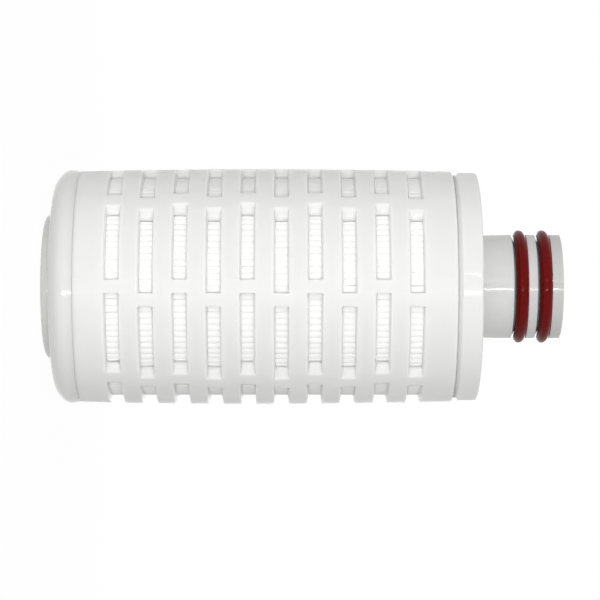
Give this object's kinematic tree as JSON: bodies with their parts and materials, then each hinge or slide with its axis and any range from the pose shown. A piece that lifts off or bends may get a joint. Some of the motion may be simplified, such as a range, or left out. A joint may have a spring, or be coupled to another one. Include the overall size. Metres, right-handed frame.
{
  "type": "pleated filter cartridge",
  "caption": "Short pleated filter cartridge with a windowed cage, one closed bevelled end and a bored spigot with two seals at the other.",
  "frame": {"origin": "centre of the foot, the flat face of the closed cap's boss, on the axis", "axes": "+Z along the axis from the closed end to the spigot; X is the draw of the cage's mould, Y lies in its parting plane"},
  "size_m": [0.0676, 0.0676, 0.147],
  "materials": {
    "cage": "natural polypropylene, satin as moulded",
    "end_caps": "natural polypropylene, smooth as moulded",
    "core": "natural polypropylene, as moulded",
    "media": "white non-woven over membrane, matt",
    "seals": "dark red silicone rubber, smooth"
  },
  "bodies": {
    "root": {"closed_end_cap": "end_caps", "outer_cage": "cage", "pleated_media": "media", "inner_core": "core", "spigot_end_cap": "end_caps", "o_ring_inner": "seals", "o_ring_outer": "seals"}
  },
  "joints": []
}
